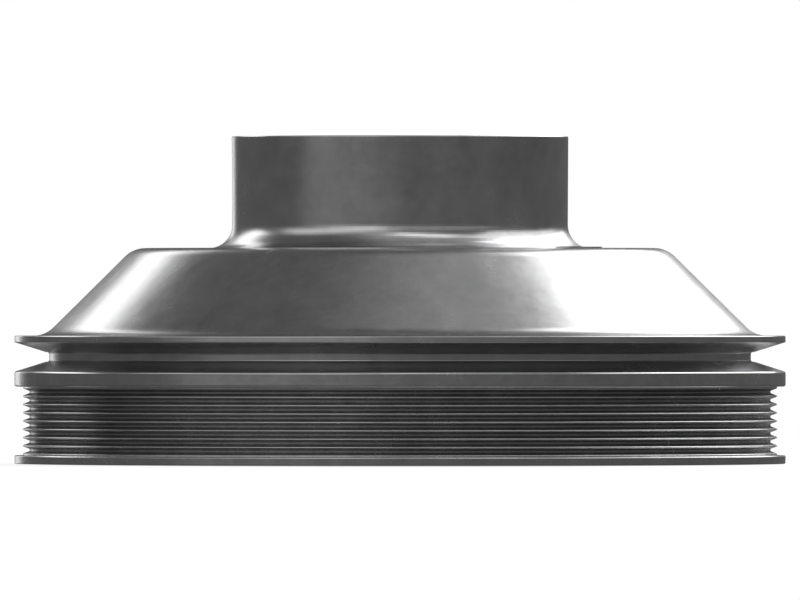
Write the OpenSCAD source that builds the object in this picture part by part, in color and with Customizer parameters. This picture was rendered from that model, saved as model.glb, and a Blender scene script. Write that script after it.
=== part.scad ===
// Fan pulley of an engine's auxiliary belt drive, machined from one grey-iron casting.
// The belt rim has a ribbed section and a V-belt groove between three flanges.
// A cone and a shoulder lead from the rim to a hollow barrel, and the web across the
// barrel's front end bolts to the fan hub.
// Z is the shaft axis, from the rear face of the rim (z = 0) to the front face of the barrel.

/* [Flanges] */
// Outside diameter of the three flanges
flange_d = 332; // [328:0.5:345]
// Thickness of the rear flange
rear_flange_t = 3.6; // [2.5:0.1:8]
// Thickness of the flange between the two belt sections
mid_flange_t = 6.4; // [3:0.1:12]
// Thickness of the front flange at its rim
front_flange_t = 2.8; // [2:0.1:8]
// How far the front and rear flanges draw in towards their outer faces, on the radius
flange_taper = 0.1; // [0:0.1:1]
// Radius on the edges of the front and rear flanges
flange_edge_r = 0.5; // [0.1:0.05:0.8]
// Radius on the edges of the middle flange
mid_flange_edge_r = 1; // [0.1:0.1:1.5]
// Radius where the rear and middle flanges meet the ribbed section
flange_root_r = 0.2; // [0.1:0.05:0.3]

/* [Ribbed section] */
// Number of grooves
rib_grooves = 8; // [3:1:12]
// Distance from one groove to the next
rib_pitch = 3.56; // [3:0.01:5]
// Angle between the two sides of a groove
rib_angle = 40; // [36:1:44]
// Height of the flanges above the crests
rib_flange_h = 3.7; // [2.5:0.1:8]
// Radius on the crests
rib_crest_r = 0.4; // [0.2:0.05:0.5]
// Radius in the roots
rib_root_r = 0.65; // [0.3:0.05:0.7]
// Width of the plain land between a flange and the nearest groove
rib_land_w = 0.85; // [0.7:0.05:3]

/* [V-belt groove] */
// Width of the groove's mouth at the flange rims
vee_mouth_w = 12.7; // [9:0.1:17]
// Angle between the groove's walls
vee_angle = 35; // [32:1:40]
// Width of the square relief under the walls
vee_relief_w = 4.2; // [3:0.1:7]
// Depth of that relief below the walls
vee_relief_depth = 1.5; // [1.3:0.1:4]
// Radius in the corners of the relief
vee_relief_r = 1; // [0.1:0.1:1]

/* [Cone and shoulder] */
// Width of the front flange's face, from its rim to the line of the cone
front_face_w = 13.2; // [10:0.1:20]
// Angle between the cone and the shaft axis
cone_angle = 45.3; // [35:0.1:50]
// Height of the shoulder above the front flange
shoulder_h = 37.7; // [25:0.1:45]
// Radius where the cone rises from the front flange
cone_foot_r = 12.5; // [2:0.5:14]
// Radius on the edge between the cone and the shoulder
shoulder_edge_r = 12.5; // [4:0.5:16]

/* [Barrel] */
// Outside diameter of the barrel at the shoulder
barrel_d = 144.4; // [125:0.1:155]
// Draft of the barrel's outside, wider towards its front face, in degrees
barrel_draft = 0.3; // [0:0.1:1]
// Height of the barrel's front face above the shoulder
barrel_h = 48.1; // [35:0.1:80]
// Radius where the barrel rises from the shoulder
barrel_foot_r = 10; // [2:0.5:14]
// Radius on the outer edge of the barrel's front face
barrel_edge_r = 0.5; // [0.2:0.1:3]

/* [Casting walls] */
// Width of the rim's rear face, from the edge of the flange to the hollow
rear_face_w = 18; // [12:0.5:24]
// Wall inside the V-belt groove, where the rim meets the cone
rim_wall = 7.5; // [5:0.5:12]
// Wall of the cone and the shoulder
cone_wall = 9; // [6:0.5:14]
// Wall of the barrel behind its web
barrel_wall = 10; // [6:0.5:14]
// Draft of the barrel's cored inside, in degrees
core_draft = 1; // [0.5:0.5:3]
// Fillet in the inner corners of the casting
core_fillet_r = 6; // [2:0.5:8]
// Radius on the inner edge of the rim's rear face
mouth_edge_r = 1; // [0.2:0.1:3]

/* [Fan mounting] */
// Thickness of the web across the barrel's front end
web_t = 12; // [8:0.5:20]
// Diameter of the pilot bore
pilot_d = 65; // [40:0.5:75]
// Chamfer at both ends of the pilot bore
pilot_chamfer = 1; // [0.5:0.1:2]
// Number of bolt holes
bolt_count = 6; // [3:1:8]
// Diameter of the bolt circle
bolt_circle_d = 100; // [92:0.5:106]
// Diameter of each bolt hole
bolt_hole_d = 11; // [6:0.5:13]
// Chamfer at the front end of each bolt hole
bolt_chamfer = 0.5; // [0.2:0.1:1]

/* [Cast pad] */
// Length of the raised pad on the shoulder, across the radius
pad_l = 26; // [14:0.5:40]
// Width of the pad, along the radius
pad_w = 11; // [6:0.5:13]
// Height of the pad above the shoulder
pad_h = 0.5; // [0.3:0.1:2]
// Angle of the pad round the shaft axis, from X
pad_angle = -37; // [-180:0.5:180]

/* [Hidden] */

// Farthest that a chord of a rounded corner may lie from its true arc
chord_error = 0.01;
// Facets round the axis and round the holes, where the curves are drawn as polygons
turned_fn = 180;
hole_fn = 48;
// How far a cutter or an embedded foot runs past the face that it crosses
overlap = 1;

// Radii of the belt rim
flange_r = flange_d / 2;
rim_mouth_r = flange_r - rear_face_w;
crest_r = flange_r - rib_flange_h;

// The flanks of the ribs run on past their round crests and roots to sharp corners
half_rib_angle = rib_angle / 2;
corner_to_round = 1 / sin(half_rib_angle) - 1;
sharp_crest_r = crest_r + rib_crest_r * corner_to_round;
sharp_root_r = sharp_crest_r - rib_pitch / 2 / tan(half_rib_angle);
groove_half_w = (crest_r - sharp_root_r) * tan(half_rib_angle);

// Heights of the ribbed section
first_groove_z = rear_flange_t + rib_land_w + groove_half_w;
last_groove_z = first_groove_z + (rib_grooves - 1) * rib_pitch;
mid_flange_z = last_groove_z + groove_half_w + rib_land_w;

// The V-belt groove, from the middle flange to the front flange
vee_rear_z = mid_flange_z + mid_flange_t;
vee_front_z = vee_rear_z + vee_mouth_w;
vee_centre_z = (vee_rear_z + vee_front_z) / 2;
vee_wall_foot_r = flange_r - (vee_mouth_w - vee_relief_w) / 2 / tan(vee_angle / 2);
vee_root_r = vee_wall_foot_r - vee_relief_depth;

// Heights of the body in front of the rim
rim_front_z = vee_front_z + front_flange_t;
shoulder_z = rim_front_z + shoulder_h;
front_z = shoulder_z + barrel_h;

// The outside of the cone and the barrel
cone_foot_radius = flange_r - front_face_w;
shoulder_radius = cone_foot_radius - shoulder_h * tan(cone_angle);
barrel_foot_radius = barrel_d / 2;
barrel_front_radius = barrel_foot_radius + barrel_h * tan(barrel_draft);

// The pad's place, in the middle of the flat that the two radii leave on the shoulder
shoulder_flat_inner_r = barrel_foot_radius + barrel_foot_r;
shoulder_flat_outer_r = shoulder_radius - shoulder_edge_r * tan((90 - cone_angle) / 2);
pad_circle_r = (shoulder_flat_inner_r + shoulder_flat_outer_r) / 2;

// The cored inside, set in from the outside by the casting's walls
web_z = front_z - web_t;
shoulder_under_z = shoulder_z - cone_wall;
inner_cone_foot_radius = cone_foot_radius - cone_wall / cos(cone_angle);
inner_shoulder_radius = inner_cone_foot_radius
    - (shoulder_under_z - rim_front_z) * tan(cone_angle);
rim_inner_r = vee_root_r - rim_wall;
rim_inner_z = rim_front_z + (inner_cone_foot_radius - rim_inner_r) / tan(cone_angle);
barrel_bore_front_r = barrel_foot_radius - barrel_wall;
barrel_bore_rear_r = barrel_bore_front_r + (web_z - shoulder_under_z) * tan(core_draft);
pilot_r = pilot_d / 2;

// Corners of the half section as [radius, height, corner radius], in order round it.
rear_flange_corners = [
    [rim_mouth_r, 0, mouth_edge_r],
    [flange_r - flange_taper, 0, flange_edge_r],
    [flange_r, rear_flange_t, flange_edge_r],
    [crest_r, rear_flange_t, flange_root_r]
];

rib_corners = [
    [crest_r, first_groove_z - groove_half_w, rib_crest_r],
    for (i = [0 : rib_grooves - 1]) each [
        if (i > 0) [sharp_crest_r, first_groove_z + (i - 0.5) * rib_pitch, rib_crest_r],
        [sharp_root_r, first_groove_z + i * rib_pitch, rib_root_r]
    ],
    [crest_r, last_groove_z + groove_half_w, rib_crest_r]
];

mid_flange_corners = [
    [crest_r, mid_flange_z, flange_root_r],
    [flange_r, mid_flange_z, mid_flange_edge_r],
    [flange_r, vee_rear_z, mid_flange_edge_r]
];

vee_corners = [
    [vee_wall_foot_r, vee_centre_z - vee_relief_w / 2, flange_root_r],
    [vee_root_r, vee_centre_z - vee_relief_w / 2, vee_relief_r],
    [vee_root_r, vee_centre_z + vee_relief_w / 2, vee_relief_r],
    [vee_wall_foot_r, vee_centre_z + vee_relief_w / 2, flange_root_r]
];

front_flange_corners = [
    [flange_r, vee_front_z, flange_edge_r],
    [flange_r - flange_taper, rim_front_z, flange_edge_r]
];

body_corners = [
    [cone_foot_radius, rim_front_z, cone_foot_r],
    [shoulder_radius, shoulder_z, shoulder_edge_r],
    [barrel_foot_radius, shoulder_z, barrel_foot_r],
    [barrel_front_radius, front_z, barrel_edge_r]
];

pilot_corners = [
    [pilot_r + pilot_chamfer, front_z, 0],
    [pilot_r, front_z - pilot_chamfer, 0],
    [pilot_r, web_z + pilot_chamfer, 0],
    [pilot_r + pilot_chamfer, web_z, 0]
];

core_corners = [
    [barrel_bore_front_r, web_z, core_fillet_r],
    [barrel_bore_rear_r, shoulder_under_z, barrel_foot_r + cone_wall],
    [inner_shoulder_radius, shoulder_under_z, core_fillet_r],
    [rim_inner_r, rim_inner_z, core_fillet_r]
];

section_corners = concat(
    rear_flange_corners,
    rib_corners,
    mid_flange_corners,
    vee_corners,
    front_flange_corners,
    body_corners,
    pilot_corners,
    core_corners
);

function unit(v) = v / norm(v);

function turned(v, angle) = [
    v.x * cos(angle) - v.y * sin(angle),
    v.x * sin(angle) + v.y * cos(angle)
];

// Points that round the corner between two neighbours by an arc tangent to both sides.
function rounded_corner(before, corner, after, radius) =
    radius == 0 ? [corner] :
    let (
        to_before = unit(before - corner),
        to_after = unit(after - corner),
        half_angle = acos(to_before * to_after) / 2,
        centre = corner + unit(to_before + to_after) * radius / sin(half_angle),
        start = corner + to_before * radius / tan(half_angle),
        sweep = 180 - 2 * half_angle,
        side = sign(cross(corner - before, after - corner)),
        steps = ceil(sweep / (2 * acos(1 - chord_error / radius)))
    )
    [for (i = [0 : steps]) centre + turned(start - centre, side * sweep * i / steps)];

function rounded_outline(corners) =
    let (
        n = len(corners),
        point = [for (c = corners) [c.x, c.y]]
    )
    [for (i = [0 : n - 1]) each rounded_corner(
        point[(i + n - 1) % n],
        point[i],
        point[(i + 1) % n],
        corners[i].z
    )];

module turned_casting() {
    rotate_extrude($fn = turned_fn)
        polygon(rounded_outline(section_corners));
}

// A raised pad with round ends, whose foot is embedded in the shoulder.
module cast_pad() {
    end_x = (pad_l - pad_w) / 2;
    rotate(pad_angle)
        translate([pad_circle_r, 0, shoulder_z - overlap])
            rotate(90)
                linear_extrude(pad_h + overlap) {
                    square([2 * end_x, pad_w], center = true);
                    for (side = [-1, 1])
                        translate([side * end_x, 0]) circle(d = pad_w, $fn = hole_fn);
                }
}

// A drilled hole through the web, with its front edge chamfered.
module bolt_hole() {
    translate([0, 0, web_z - overlap])
        cylinder(d = bolt_hole_d, h = web_t + 2 * overlap, $fn = hole_fn);
    translate([0, 0, front_z - bolt_chamfer])
        cylinder(
            d1 = bolt_hole_d,
            d2 = bolt_hole_d + 2 * (bolt_chamfer + overlap),
            h = bolt_chamfer + overlap,
            $fn = hole_fn
        );
}

module pulley() {
    color([0.36, 0.36, 0.37])
        difference() {
            union() {
                turned_casting();
                cast_pad();
            }
            for (i = [0 : bolt_count - 1])
                rotate(i * 360 / bolt_count)
                    translate([bolt_circle_d / 2, 0, 0])
                        bolt_hole();
        }
}

pulley();
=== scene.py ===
"""Looks of the fan pulley: its iron, the studio round it, the floor and the camera."""

import math
from collections import namedtuple

import bpy
from mathutils import Matrix, Vector


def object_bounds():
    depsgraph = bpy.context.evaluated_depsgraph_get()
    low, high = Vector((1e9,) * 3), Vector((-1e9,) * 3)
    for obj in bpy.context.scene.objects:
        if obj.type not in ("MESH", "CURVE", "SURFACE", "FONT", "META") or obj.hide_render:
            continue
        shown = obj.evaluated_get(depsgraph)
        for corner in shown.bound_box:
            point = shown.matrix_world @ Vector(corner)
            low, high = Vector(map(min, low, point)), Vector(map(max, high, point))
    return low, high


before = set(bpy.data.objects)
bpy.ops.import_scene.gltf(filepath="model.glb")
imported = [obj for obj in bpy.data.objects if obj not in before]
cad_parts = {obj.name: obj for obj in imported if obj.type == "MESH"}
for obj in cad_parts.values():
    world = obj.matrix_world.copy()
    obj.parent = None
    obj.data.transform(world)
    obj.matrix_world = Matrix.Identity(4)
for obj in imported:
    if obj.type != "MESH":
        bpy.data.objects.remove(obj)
cad_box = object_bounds()
low, high = Vector(cad_box[0]), Vector(cad_box[1])

MM = 0.001
CAMERA_LOOKS = Vector((0, 1, 0))

# Heights and radii of the casting that the finish depends on
FLANGE_R = high.x
CREST_R = 162.3 * MM
RIBS_FRONT = 34.5 * MM
RIM_FRONT = 55.1 * MM
SHOULDER_BACK = 88.3 * MM
BARREL_FOOT = 95.7 * MM
WEB_BACK = high.z - 11.8 * MM

# Middle of the casting's wall, between the turned outside and the cored inside
RIM_WALL_R = (149.6 * MM, 147 * MM)
CONE_WALL_R = 146.4 * MM
CONE_SLOPE = 1.01
SHOULDER_WALL_R = 70.2 * MM
BARREL_WALL_R = 67.5 * MM

# Where the polish and painted highlight of the worn edges begin and are full, inside the flanges' outside
# radius
POLISH_BEGINS, POLISH_FULL = 0.9 * MM, 0.5 * MM

# How far inside the crests the painted groove shade is full, and how far it stays from the rim's two faces
SHADE_DEPTH = 0.9 * MM
SHADE_MARGIN = 1 * MM

# A soft box: the place on the casting where the camera sees it mirrored, its roll in degrees, its size as
# seen from one metre, and its strength. Its ends and its long edges fade over the widths given last.
# The side runs from -1 at the left outline to 1 at the right one. The slope of the surface is 0 degrees on
# the barrel, 45 on the cone and 90 on the shoulder.
SoftBox = namedtuple("SoftBox", "side slope roll width height strength ends edges", defaults=(0.15, 0.15))

# These boxes began as another program's fit to greys read off the photo. They were rewritten and adjusted
# since, but most values are still close to that fit's.
SOFT_BOXES = {
    "main": SoftBox(side=0.8, slope=46, roll=35, width=0.5, height=1, strength=4),
    "fill": SoftBox(side=0.72, slope=30, roll=-22, width=1.3, height=0.6, strength=1.5),
    "left": SoftBox(side=-0.88, slope=33, roll=-12, width=0.9, height=0.25, strength=2.7),
    "outline": SoftBox(side=-0.99, slope=8, roll=0, width=0.1, height=0.3, strength=3),
    "band": SoftBox(side=-0.4, slope=15, roll=-6, width=1.5, height=0.4, strength=1, ends=0.4, edges=0.4),
    "front": SoftBox(side=0.15, slope=28, roll=13, width=0.7, height=0.25, strength=1.7),
    "horizon": SoftBox(side=0, slope=9, roll=6, width=5, height=0.2, strength=0.55, ends=2.5, edges=0.5),
    "overhead": SoftBox(side=0.2, slope=40, roll=-5, width=3, height=0.7, strength=0.3, ends=0.5, edges=0.5),
}

# The room's light below and above the horizon, the light from the floor, and the heights where each changes
ROOM_BELOW, ROOM_ABOVE = 0.1, 0.15
ROOM_HEIGHTS = (-0.5, 0.17)
FROM_FLOOR = 0.25
FLOOR_HEIGHTS = (-0.95, -0.6)

# The floor's size, its place under the pulley, its grey, and its glow outside the pulley's footprint; under
# the pulley the glow is taken away, as a painted shadow
FLOOR_RADIUS = 1.2
FLOOR_GAP = 0.2 * MM
FLOOR_GREY = 0.22
FLOOR_GLOW = 0.85

# A long lens, far away, as in the photograph
LENS = 1200
CAMERA_DISTANCE = 11.478


class Graph:
    """Short calls for building one node tree."""

    def __init__(self, tree):
        self.tree = tree
        tree.nodes.clear()

    def node(self, kind, **settings):
        made = self.tree.nodes.new(kind)
        for name, value in settings.items():
            setattr(made, name, value)
        return made

    def link(self, source, socket):
        if isinstance(source, bpy.types.NodeSocket):
            self.tree.links.new(source, socket)
        else:
            socket.default_value = source

    def feed(self, made, *values):
        for value, socket in zip(values, made.inputs):
            self.link(value, socket)
        return made.outputs[0]

    def math(self, operation, *values):
        return self.feed(self.node("ShaderNodeMath", operation=operation), *values)

    def ramp(self, value, start, end, low_value=0.0, high_value=1.0):
        made = self.node("ShaderNodeMapRange", interpolation_type="SMOOTHSTEP")
        return self.feed(made, value, start, end, low_value, high_value)

    def line(self, value, start, end, low_value, high_value):
        return self.feed(self.node("ShaderNodeMapRange"), value, start, end, low_value, high_value)

    def spread(self, noise, low_value, high_value):
        """A noise taken to a range, which most of it fills."""
        return self.line(noise, 0.3, 0.7, low_value, high_value)

    def total(self, *values):
        result = values[0]
        for value in values[1:]:
            result = self.math("ADD", result, value)
        return result

    def axes(self, vector):
        made = self.node("ShaderNodeSeparateXYZ")
        self.link(vector, made.inputs[0])
        return made.outputs

    def colour(self, red, green, blue):
        return self.feed(self.node("ShaderNodeCombineColor"), red, green, blue)

    def dot(self, vector, fixed):
        made = self.node("ShaderNodeVectorMath", operation="DOT_PRODUCT")
        self.link(vector, made.inputs[0])
        made.inputs[1].default_value = fixed
        return made.outputs["Value"]

    def mix(self, factor, first, second):
        made = self.node("ShaderNodeMix", data_type="FLOAT")
        self.link(factor, made.inputs["Factor"])
        self.link(first, made.inputs["A"])
        self.link(second, made.inputs["B"])
        return made.outputs["Result"]

    def noise(self, vector, scale, detail, roughness=0.5):
        made = self.node("ShaderNodeTexNoise")
        self.link(vector, made.inputs["Vector"])
        made.inputs["Scale"].default_value = scale
        made.inputs["Detail"].default_value = detail
        made.inputs["Roughness"].default_value = roughness
        return made.outputs["Fac"]


def box_axes(box):
    """The way to a soft box by the law of reflection, and its width and height directions."""
    around, tilt = math.asin(box.side), math.radians(box.slope)
    normal = Vector((math.cos(tilt) * math.sin(around), -math.cos(tilt) * math.cos(around), math.sin(tilt)))
    ahead = CAMERA_LOOKS.reflect(normal)
    level = Vector((0, 0, 1)).cross(ahead).normalized()
    roll = Matrix.Rotation(math.radians(box.roll), 3, ahead)
    return ahead, roll @ level, roll @ ahead.cross(level)


def soft_box_light(g, ray, box):
    ahead, across, up = box_axes(box)
    depth = g.math("MAXIMUM", g.dot(ray, ahead), 0.02)
    light = box.strength
    for axis, size, fade in ((across, box.width, box.ends), (up, box.height, box.edges)):
        offset = g.math("DIVIDE", g.math("ABSOLUTE", g.dot(ray, axis)), depth)
        fall = g.ramp(offset, (size - fade) / 2, (size + fade) / 2, 1.0, 0.0)
        light = g.math("MULTIPLY", fall, light)
    return light


def studio_world():
    """A dim room with soft boxes for the object, and plain white behind it."""
    world = bpy.data.worlds.new("studio")
    world.use_nodes = True
    g = Graph(world.node_tree)
    ray = g.node("ShaderNodeTexCoord").outputs["Generated"]
    height = g.dot(ray, (0, 0, 1))
    light = g.ramp(height, *ROOM_HEIGHTS, ROOM_BELOW, ROOM_ABOVE)
    light = g.math("ADD", light, g.ramp(height, *FLOOR_HEIGHTS, FROM_FLOOR, 0.0))
    for box in SOFT_BOXES.values():
        light = g.math("ADD", light, soft_box_light(g, ray, box))

    lit = g.node("ShaderNodeBackground")
    g.link(light, lit.inputs["Strength"])
    backdrop = g.node("ShaderNodeBackground")
    backdrop.inputs["Color"].default_value = (1, 1, 1, 1)
    chosen = g.node("ShaderNodeMixShader")
    from_camera = g.node("ShaderNodeLightPath").outputs["Is Camera Ray"]
    g.feed(chosen, from_camera, lit.outputs[0], backdrop.outputs[0])
    g.link(chosen.outputs[0], g.node("ShaderNodeOutputWorld").inputs[0])
    return world


def cast_area(g, radius, z):
    """One where the cored inside was left as cast, nought where the casting was turned."""
    rim = g.line(z, 0, RIM_FRONT, *RIM_WALL_R)
    cone = g.math("SUBTRACT", CONE_WALL_R, g.math("MULTIPLY", g.math("SUBTRACT", z, RIM_FRONT), CONE_SLOPE))
    barrel = g.mix(g.math("GREATER_THAN", z, BARREL_FOOT), SHOULDER_WALL_R, BARREL_WALL_R)
    limit = g.mix(g.math("GREATER_THAN", z, RIM_FRONT), rim, cone)
    limit = g.mix(g.math("GREATER_THAN", z, SHOULDER_BACK), limit, barrel)
    inside = g.math("LESS_THAN", radius, limit)
    return g.math("MULTIPLY", inside, g.math("LESS_THAN", z, WEB_BACK))


def worn_edge_and_painted_highlight(g, radius, normal_z):
    """The rounded edges of the flanges, where belts and hands have polished them and the iron is lightened
    as a painted highlight.
    """
    slant = g.math("ABSOLUTE", normal_z)
    rounded = g.math("MULTIPLY", g.ramp(slant, 0.1, 0.4), g.ramp(slant, 0.9, 1.0, 1.0, 0.0))
    return g.math("MULTIPLY", rounded, g.ramp(radius, FLANGE_R - POLISH_BEGINS, FLANGE_R - POLISH_FULL))


def painted_groove_shade(g, radius, z):
    """Painted shade in the belt grooves: the share of the iron's grey kept below the crests, less between
    the ribs.
    """
    deep = g.ramp(radius, CREST_R - SHADE_DEPTH, CREST_R, 1.0, 0.0)
    above_rear = g.math("GREATER_THAN", z, SHADE_MARGIN)
    below_front = g.math("LESS_THAN", z, RIM_FRONT - SHADE_MARGIN)
    on_rim = g.math("MULTIPLY", above_rear, below_front)
    shade = g.mix(g.math("GREATER_THAN", z, RIBS_FRONT), 0.75, 0.9)
    return g.mix(g.math("MULTIPLY", deep, on_rim), 1.0, shade)


IronPatterns = namedtuple("IronPatterns", "cast edge dust cloud stain mottle smudge grain lumps turning")


def iron_patterns(g, place, normal):
    """The areas and noises that the iron's shade, gloss and relief are made from."""
    x, y, z = g.axes(place)
    radius = g.math("SQRT", g.math("ADD", g.math("MULTIPLY", x, x), g.math("MULTIPLY", y, y)))
    rings = g.node("ShaderNodeCombineXYZ")
    g.link(radius, rings.inputs["X"])
    g.link(z, rings.inputs["Z"])
    return IronPatterns(
        cast=cast_area(g, radius, z),
        edge=worn_edge_and_painted_highlight(g, radius, g.axes(normal)["Z"]),
        dust=painted_groove_shade(g, radius, z),
        cloud=g.noise(place, 85, 5, 0.6),
        stain=g.noise(place, 22, 2),
        mottle=g.noise(place, 260, 4, 0.75),
        smudge=g.ramp(g.noise(place, 130, 1), 0.62, 0.74),
        grain=g.noise(place, 900, 4, 0.6),
        lumps=g.noise(place, 260, 3),
        turning=g.noise(rings.outputs[0], 2600, 2),
    )


def iron_shade(g, iron):
    """Its grey: clouded and smudged where it was turned, with a painted highlight on the flange edges and
    painted shade in the belt grooves, darker and grainy as cast.
    """
    turned = g.total(
        g.spread(iron.cloud, 0.53, 0.6),
        g.spread(iron.stain, -0.015, 0.015),
        g.spread(iron.turning, -0.008, 0.008),
        g.spread(iron.mottle, -0.022, 0.022),
        g.math("MULTIPLY", iron.smudge, -0.035),
        # Painted highlight: the worn flange edges made lighter
        g.math("MULTIPLY", iron.edge, 0.06),
    )
    cast = g.total(g.spread(iron.cloud, 0.27, 0.36), g.spread(iron.grain, -0.05, 0.05))
    # Painted shade: the turned grey darkened in the belt grooves
    return g.mix(iron.cast, g.math("MULTIPLY", turned, iron.dust), cast)


def iron_roughness(g, iron):
    """Satin where it was turned, smoother on the worn edges, rough as cast."""
    turned = g.total(
        g.spread(iron.cloud, 0.225, 0.265),
        g.spread(iron.stain, -0.01, 0.02),
        g.math("MULTIPLY", iron.edge, -0.05),
    )
    return g.mix(iron.cast, turned, g.spread(iron.grain, 0.48, 0.62))


def iron_relief(g, iron):
    """Its height: fine turning lines, fainter in the belt grooves, and the grain of the casting."""
    lines = g.math("MULTIPLY", iron.turning, g.spread(iron.cloud, 0.002 * MM, 0.006 * MM))
    lines = g.math("MULTIPLY", lines, g.math("POWER", iron.dust, 4.0))
    grain = g.math("MULTIPLY", g.math("ADD", iron.grain, iron.lumps), 0.12 * MM)
    return g.mix(iron.cast, lines, grain)


def machined_iron():
    """Turned grey iron outside, as cast inside, by place on the object."""
    material = bpy.data.materials.new("machined_iron")
    material.use_nodes = True
    g = Graph(material.node_tree)
    coordinates = g.node("ShaderNodeTexCoord").outputs
    iron = iron_patterns(g, coordinates["Object"], coordinates["Normal"])
    shade = iron_shade(g, iron)
    bump = g.node("ShaderNodeBump")
    bump.inputs["Distance"].default_value = 1.0
    g.link(iron_relief(g, iron), bump.inputs["Height"])

    surface = g.node("ShaderNodeBsdfPrincipled")
    surface.inputs["Metallic"].default_value = 1.0
    g.link(g.colour(shade, shade, g.math("MULTIPLY", shade, 1.01)), surface.inputs["Base Color"])
    # The painted groove shade also darkens the specular tint in the grooves
    g.link(g.colour(iron.dust, iron.dust, iron.dust), surface.inputs["Specular Tint"])
    g.link(iron_roughness(g, iron), surface.inputs["Roughness"])
    g.link(bump.outputs[0], surface.inputs["Normal"])
    g.link(surface.outputs[0], g.node("ShaderNodeOutputMaterial").inputs[0])
    return material


def floor_paint():
    """A pale matt floor from above, glowing except under the pulley, where the missing glow is a painted
    shadow; from below, and to the object's reflections, it isn't there.
    """
    material = bpy.data.materials.new("floor")
    material.use_nodes = True
    g = Graph(material.node_tree)
    matt = g.node("ShaderNodeBsdfDiffuse")
    matt.inputs["Color"].default_value = (FLOOR_GREY, FLOOR_GREY, FLOOR_GREY, 1)
    place = g.node("ShaderNodeTexCoord").outputs["Object"]
    from_axis = g.node("ShaderNodeVectorMath", operation="LENGTH")
    g.link(place, from_axis.inputs[0])
    glow = g.node("ShaderNodeEmission")
    # No glow inside the pulley's footprint, ramping in towards its rim: a painted shadow on the floor under
    # it
    painted_shadow_radii = (0.8 * FLANGE_R, 0.98 * FLANGE_R)
    g.link(g.ramp(from_axis.outputs["Value"], *painted_shadow_radii, 0.0, FLOOR_GLOW), glow.inputs["Strength"])
    paint = g.node("ShaderNodeAddShader")
    g.feed(paint, matt.outputs[0], glow.outputs[0])
    from_above = g.math("SUBTRACT", 1.0, g.node("ShaderNodeNewGeometry").outputs["Backfacing"])
    seen = g.math("MULTIPLY", g.node("ShaderNodeLightPath").outputs["Is Camera Ray"], from_above)
    chosen = g.node("ShaderNodeMixShader")
    g.feed(chosen, seen, g.node("ShaderNodeBsdfTransparent").outputs[0], paint.outputs[0])
    g.link(chosen.outputs[0], g.node("ShaderNodeOutputMaterial").inputs[0])
    return material


def pale_floor():
    bpy.ops.mesh.primitive_circle_add(
        vertices=96, radius=FLOOR_RADIUS, fill_type="NGON", location=(0, 0, low.z - FLOOR_GAP)
    )
    floor = bpy.context.object
    floor.name = "floor"
    floor.data.materials.append(floor_paint())


def photo_camera():
    """Level with the middle of the pulley, with a long lens as in the photograph."""
    data = bpy.data.cameras.new("camera")
    data.lens = LENS
    data.sensor_width = 36
    data.clip_end = 100
    camera = bpy.data.objects.new("camera", data)
    camera.location = (0, -CAMERA_DISTANCE, (low.z + high.z) / 2)
    camera.rotation_euler = (math.radians(90), 0, 0)
    bpy.context.scene.collection.objects.link(camera)
    bpy.context.scene.camera = camera


scene = bpy.context.scene
scene.view_settings.view_transform = "Standard"
scene.world = studio_world()
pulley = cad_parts["pulley"]
finish = machined_iron()
for slot in pulley.material_slots:
    slot.material = finish
pale_floor()
photo_camera()
